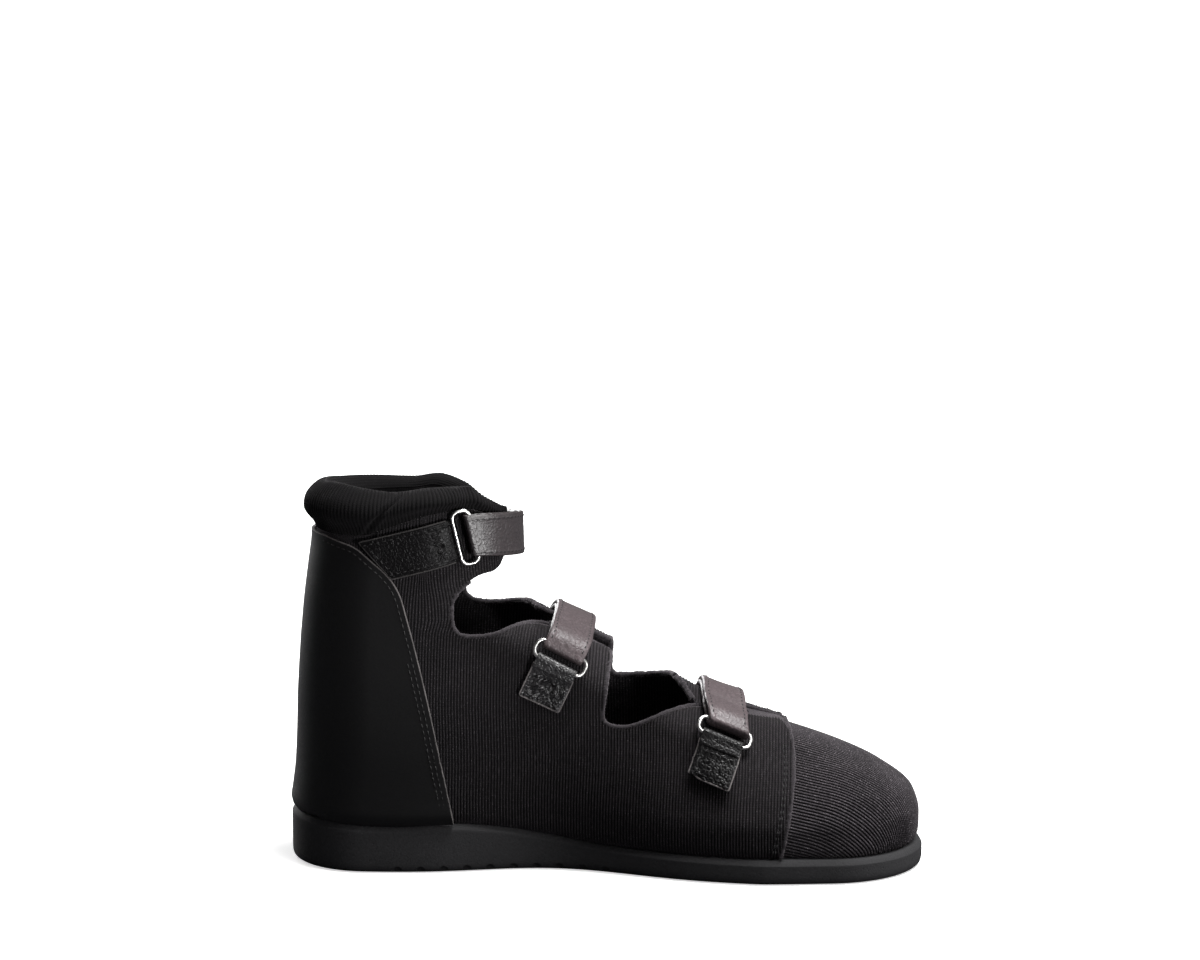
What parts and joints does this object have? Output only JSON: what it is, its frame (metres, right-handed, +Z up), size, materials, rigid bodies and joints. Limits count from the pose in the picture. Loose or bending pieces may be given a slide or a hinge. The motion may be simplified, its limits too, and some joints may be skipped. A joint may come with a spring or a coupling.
{
  "type": "orthopedic support shoe",
  "caption": "Ankle-high knitted support shoe for the left foot, with a padded collar, leather heel counter, scalloped front and straps that turn back through metal rings.",
  "frame": {"origin": "on the ground under the middle of the sole", "axes": "+X from heel to toe, +Y to the outer (lateral) side of the foot, +Z up"},
  "size_m": [0.298, 0.1058, 0.181],
  "materials": {
    "knit": "ribbed knit, matt",
    "counter_leather": "smooth leather, soft sheen",
    "strap_leather": "pebbled leather, satin",
    "chape_leather": "creased grain leather, satin",
    "sole": "foamed sole rubber, matt",
    "nickel": "polished nickel plate"
  },
  "bodies": {
    "root": {"outsole": "sole", "vamp": "knit", "quarter_medial": "knit", "quarter_lateral": "knit", "heel_counter": "counter_leather", "collar": "knit", "strap_ankle": "strap_leather", "chape_ankle": "chape_leather", "ring_ankle": "nickel", "strap_instep": "strap_leather", "chape_instep": "chape_leather", "ring_instep": "nickel", "strap_forefoot": "strap_leather", "chape_forefoot": "chape_leather", "ring_forefoot": "nickel"}
  },
  "joints": []
}
